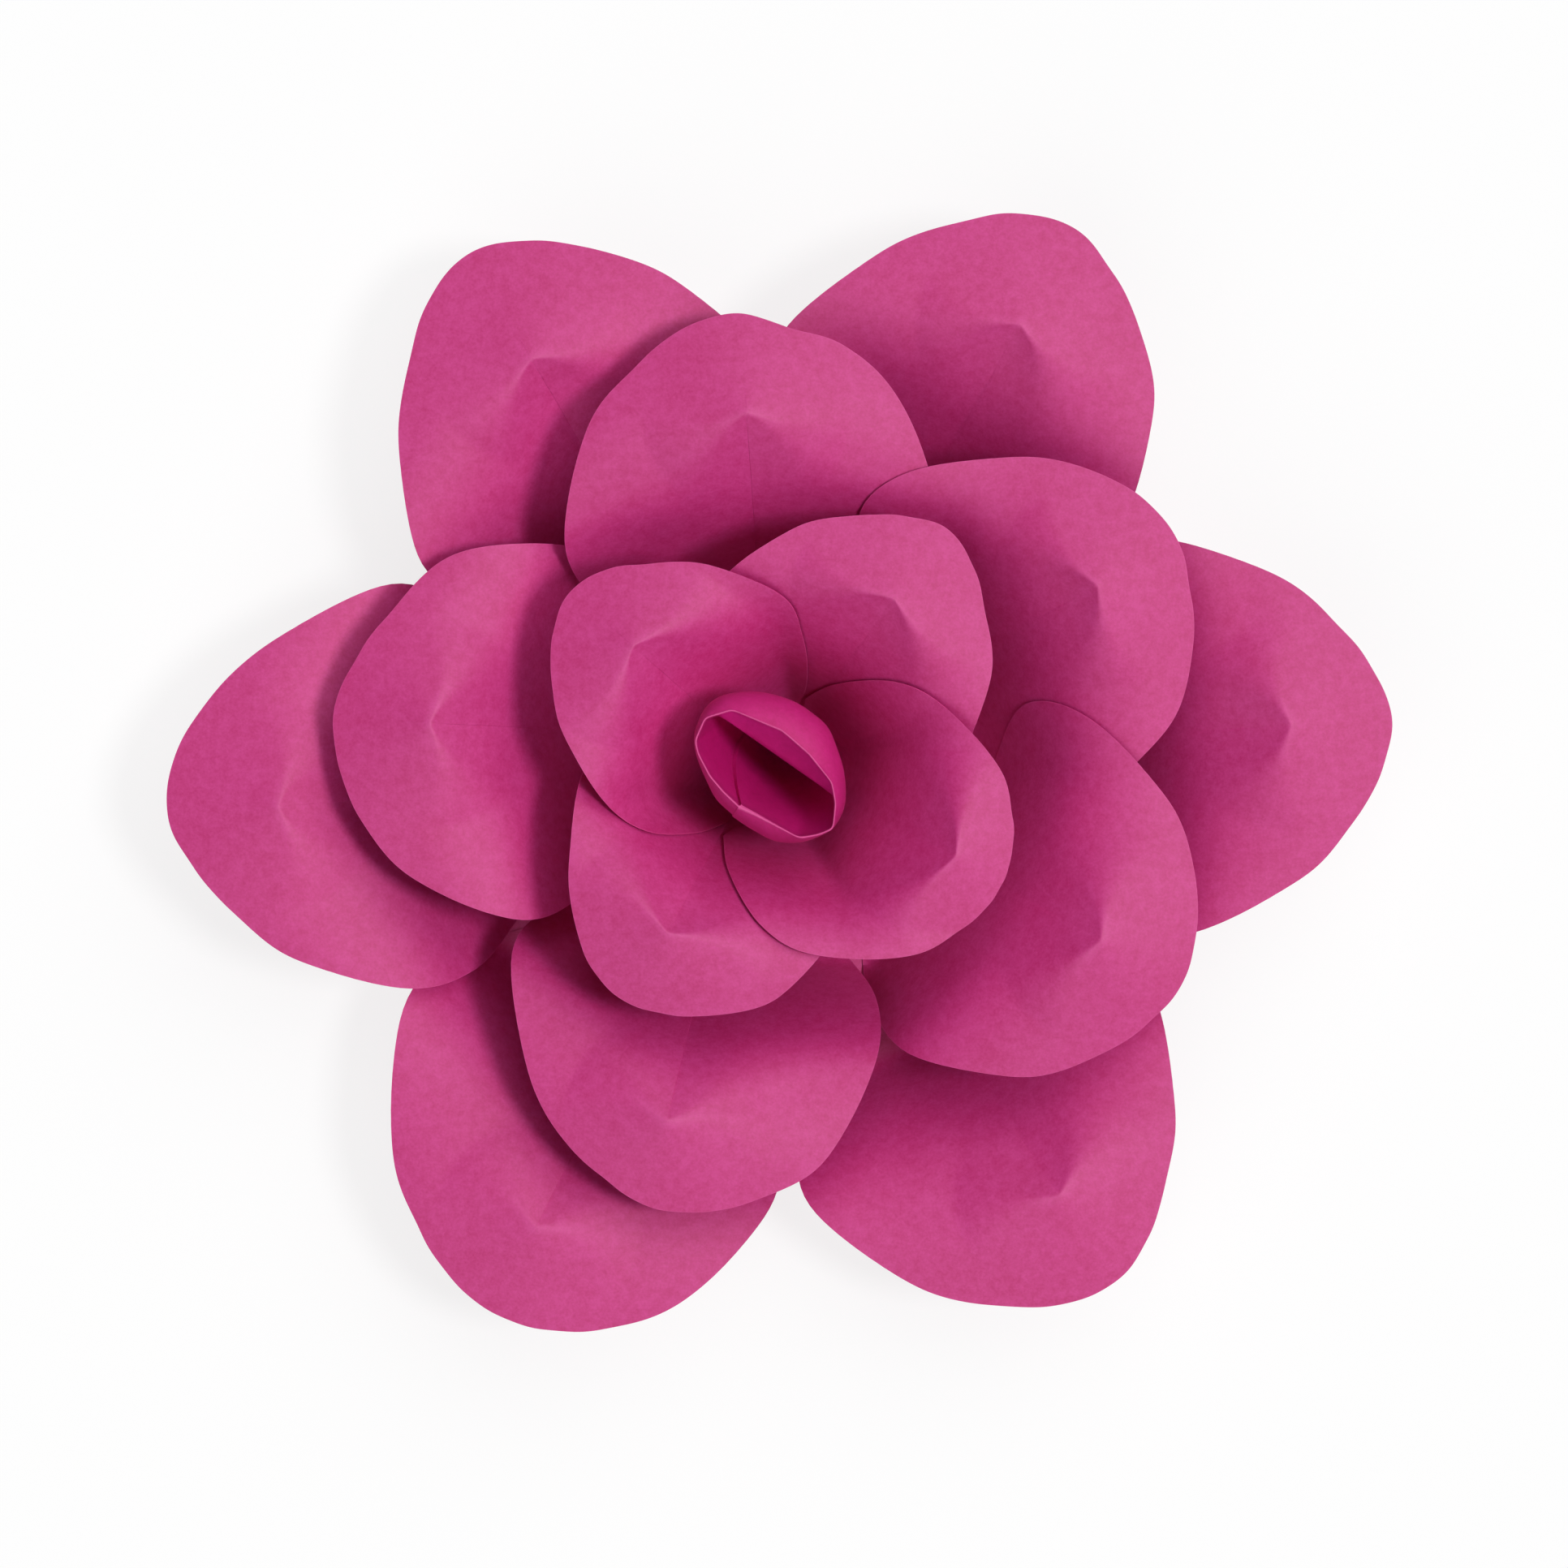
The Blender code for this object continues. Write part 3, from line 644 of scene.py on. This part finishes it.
for drop in np.linspace(0, 1, 22)[1:]:
    closing = drop**BUD_CLOSING
    sweep = BUD_FLAP_SWEEP * (1 - (1 - closing) ** BUD_SWEEP_EASE) * near_flap
    tuck = BUD_FLAP_TUCK * np.exp(past_flap / (0.5 * bud_step)) * (past_flap < 0) * min(1, 6 * drop)
    rim = spread_out(soften(outline_at(BUD_MOUTH, bud_angles + sweep), MOUTH_ROUNDS), -BUD_RIM_WIDTH)
    offset = BUD_FOLD_OFFSET + centre[1]
    behind = rim[:, 1] > offset
    turned_in = min(drop / BUD_TURN_SHARE, 1)
    under = max(drop - BUD_TURN_SHARE, 0) / (1 - BUD_TURN_SHARE)
    fold_across = offset + np.where(behind, BUD_UNDERCUT * under, BUD_UNDERCUT - BUD_FOLD_GAP)
    fold = np.stack([rim[:, 0] * BUD_FOLD_SHARE, fold_across], axis=1)
    keel = 1 - (fold[:, 0] / BUD_KEEL_HALF_LENGTH) ** 2
    front_depth = BUD_POCKET_DEPTH * drop
    back_depth = BUD_TURN_DEPTH * turned_in + (BUD_POCKET_DEPTH - BUD_TURN_DEPTH) * under
    closed = np.where(behind, turned_in, closing)[:, None]
    step = BUD_FLAP_INSIDE * flap * (1 - closing**3)
    ring = spread_out(rim + (fold - rim) * closed, -step)
    ring = ring + tuck[:, None] * np.stack([-ring[:, 1], ring[:, 0]], axis=1)
    lift = step * min(1, 4 * drop)
    add_level(ring, BUD_TOP - BUD_RIM_HEIGHT - keel * np.where(behind, back_depth, front_depth) + lift)
levels = np.array(levels)

deselect()
bpy.ops.mesh.primitive_circle_add(
    vertices=BUD_POINTS, radius=BUD_BASE_RADIUS, fill_type="NGON", location=(0, 0, 0)
)
bud = bpy.context.object
bud.name = "rolled_bud"
bpy.ops.object.mode_set(mode="EDIT")
bpy.ops.mesh.select_mode(type="FACE")
bpy.ops.mesh.select_all(action="SELECT")
for _ in levels[1:]:
    bpy.ops.mesh.extrude_region_move(TRANSFORM_OT_translate={"value": (0, 0, MM)})
bpy.ops.object.mode_set(mode="OBJECT")
places = np.empty(3 * len(bud.data.vertices))
bud.data.vertices.foreach_get("co", places)
places = places.reshape(-1, 3)
point_level = np.rint(places[:, 2] / MM).astype(int)
point_turn = np.rint(np.arctan2(places[:, 1], places[:, 0]) / bud_step).astype(int) % BUD_POINTS
shaped = levels[point_level, point_turn]
shaped[:, :2] -= centre
long_side = np.array([math.cos(BUD_TURN), math.sin(BUD_TURN)])
short_side = np.array([-math.sin(BUD_TURN), math.cos(BUD_TURN)])
flat = np.outer(shaped[:, 0], long_side) + np.outer(shaped[:, 1], short_side)
bud.data.vertices.foreach_set("co", np.column_stack([flat, shaped[:, 2]]).ravel())
bud.data.materials.append(bud_card)
bud.data.materials.append(edge_highlight_card)
bud.data.materials.append(bud_painted_shade_lining)
# The rim faces take the painted highlight, and the faces inside the mouth the painted shade lining.
for face in bud.data.polygons:
    face_levels = point_level[list(face.vertices)]
    if len(face.vertices) == 4 and face_levels.min() >= rim_first and face_levels.max() <= rim_last:
        face.material_index = 1
    elif face_levels.min() >= rim_last:
        face.material_index = 2
bpy.ops.object.mode_set(mode="EDIT")
bpy.ops.mesh.select_all(action="SELECT")
bpy.ops.mesh.normals_make_consistent(inside=False)
bpy.ops.object.mode_set(mode="OBJECT")
bpy.ops.object.shade_smooth_by_angle(angle=math.radians(35))
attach(bud, "root")
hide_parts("bud")


# The photographer's set: a plain white floor that keeps the flower's shadow, a soft key light from the right,
# two very soft fills, and the camera straight above the face.

FLOOR_GLOW = 0.8
ROOM_LIGHT = 0.04
CAMERA_PLACE = (5.3 * MM, -6.9 * MM, 3.0)
CAMERA_LENS = 166.4

deselect()
bpy.ops.mesh.primitive_plane_add(size=6, location=(0, 0, -0.5 * MM))
floor = bpy.context.object
floor.name = "floor"
white_paper = bpy.data.materials.new("white paper")
paper = Finish(white_paper)
ray = paper.node("ShaderNodeLightPath", output=0)
white = paper.node("ShaderNodeBsdfDiffuse", None, {"Color": (0.95, 0.95, 0.95, 1)})
glow = paper.node("ShaderNodeEmission", None, {"Color": (1, 1, 1, 1), "Strength": 1.0})
seen = paper.node("ShaderNodeMixShader", None, {0: ray * FLOOR_GLOW, 1: white, 2: glow})
paper.node("ShaderNodeOutputMaterial", None, {"Surface": seen})
floor.data.materials.append(white_paper)


def soft_light(name, side, height, strength, softness):
    """A round lamp far away, at an angle from the right and above the floor, in degrees."""
    lamp = bpy.data.lights.new(name, "SUN")
    lamp.energy = strength
    lamp.angle = math.radians(softness)
    lamp_object = bpy.data.objects.new(name, lamp)
    bpy.context.scene.collection.objects.link(lamp_object)
    side, up = math.radians(side), math.radians(height)
    towards = Vector((math.cos(up) * math.cos(side), math.cos(up) * math.sin(side), math.sin(up)))
    lamp_object.rotation_mode = "QUATERNION"
    lamp_object.rotation_quaternion = towards.to_track_quat("Z", "Y")


soft_light("key", -4, 62, 1.45, 14)
soft_light("window", 60, 50, 1.25, 60)
soft_light("bounce", 240, 50, 1.0, 60)

world = bpy.data.worlds.new("room")
bpy.context.scene.world = world
room = Finish(world)
ray = room.node("ShaderNodeLightPath", output=0)
level = room.node("ShaderNodeMath", {"operation": "MAXIMUM"}, {0: ray, 1: ROOM_LIGHT})
backdrop = room.node("ShaderNodeBackground", None, {"Color": (1, 1, 1, 1), "Strength": level})
room.node("ShaderNodeOutputWorld", None, {"Surface": backdrop})

camera_data = bpy.data.cameras.new("camera")
camera_data.lens = CAMERA_LENS
camera = bpy.data.objects.new("camera", camera_data)
camera.location = CAMERA_PLACE
bpy.context.scene.collection.objects.link(camera)
bpy.context.scene.camera = camera
bpy.context.scene.view_settings.view_transform = "Standard"
